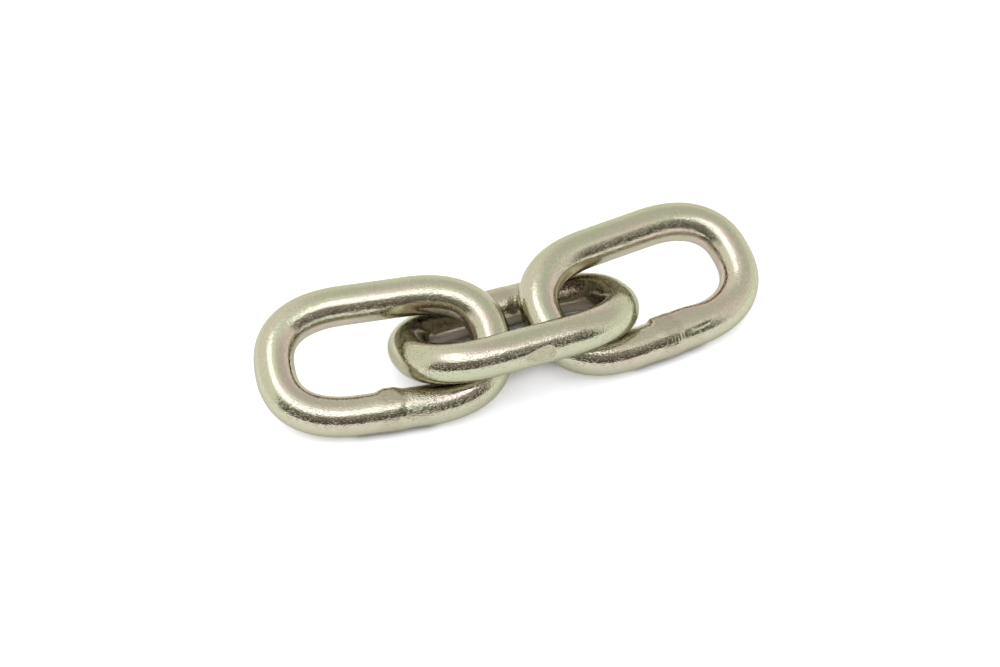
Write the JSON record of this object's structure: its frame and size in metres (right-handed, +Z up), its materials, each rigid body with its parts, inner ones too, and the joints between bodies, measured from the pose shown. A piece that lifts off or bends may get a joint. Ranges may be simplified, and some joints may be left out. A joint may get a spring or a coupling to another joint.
{
  "type": "short length of welded chain",
  "caption": "Short run of interlocked welded chain links in bright plated round bar, lying slack on a level surface.",
  "frame": {"origin": "middle of the chain's bounding box, on the surface it lies on", "axes": "+X along the chain from the left link to the right one, +Y away from the viewer, +Z up"},
  "size_m": [0.0998, 0.0544, 0.0175],
  "materials": {
    "plated_steel": "bright nickel-toned plating over drawn bar, slightly dulled, with tooling scratches"
  },
  "bodies": {
    "middle_link": {"middle_link": "plated_steel"},
    "left_link": {"left_link": "plated_steel"},
    "right_link": {"right_link": "plated_steel"}
  },
  "joints": [
    {"name": "left_link_swing", "type": "hinge", "parent": "middle_link", "child": "left_link", "pos_m": [-0.0166, -0.00912, 0.00839], "axis": [-0.076, 0.3734, -0.9245], "range_deg": [-20, 60]},
    {"name": "right_link_swing", "type": "hinge", "parent": "middle_link", "child": "right_link", "pos_m": [0.01823, 0.00422, 0.0085], "axis": [0.178, -0.3478, 0.9205], "range_deg": [-20, 60]}
  ]
}
